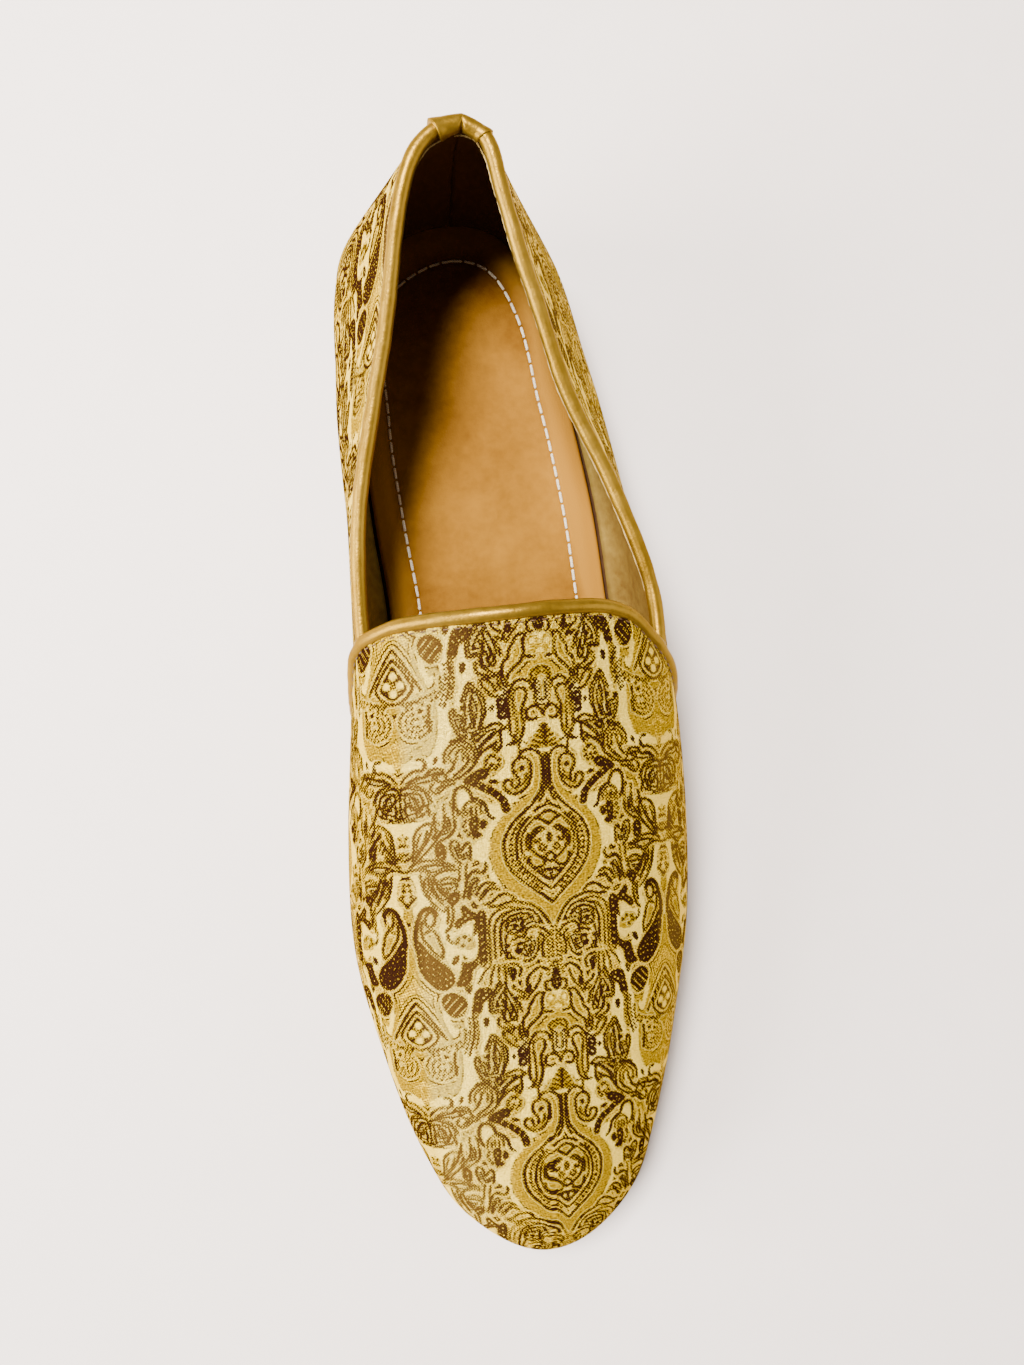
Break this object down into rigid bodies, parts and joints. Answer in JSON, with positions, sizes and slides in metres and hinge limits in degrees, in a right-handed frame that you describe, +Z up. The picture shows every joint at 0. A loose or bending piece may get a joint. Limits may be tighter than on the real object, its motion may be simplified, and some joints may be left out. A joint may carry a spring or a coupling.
{
  "type": "brocade slip-on wedding shoe",
  "caption": "Low slip-on wedding shoe: brocade upper with rolled gold leather bindings, padded insole, thin leather sole and low stacked heel, hollow and open at the collar.",
  "frame": {"origin": "on the floor, under the middle of the shoe's length and width", "axes": "+Z up from the floor, -Y towards the tip of the toe, +X towards the outer (lateral) side of the foot"},
  "size_m": [0.0954, 0.3, 0.0798],
  "materials": {
    "brocade": "gold jacquard brocade, cream satin ground with brown outlines and mustard fills",
    "gold_leather": "soft metallic gold leather, fine crinkled grain",
    "insole_leather": "smooth tan lining leather, satin, with a row of white stitches",
    "sole_leather": "brown sole leather, matte",
    "heel_stack": "dark stained stacked leather, satin"
  },
  "bodies": {
    "root": {"outsole": "sole_leather", "heel": "heel_stack", "insole": "insole_leather", "upper": "brocade", "throat_binding": "gold_leather", "collar_binding": "gold_leather", "heel_tab": "gold_leather"}
  },
  "joints": []
}
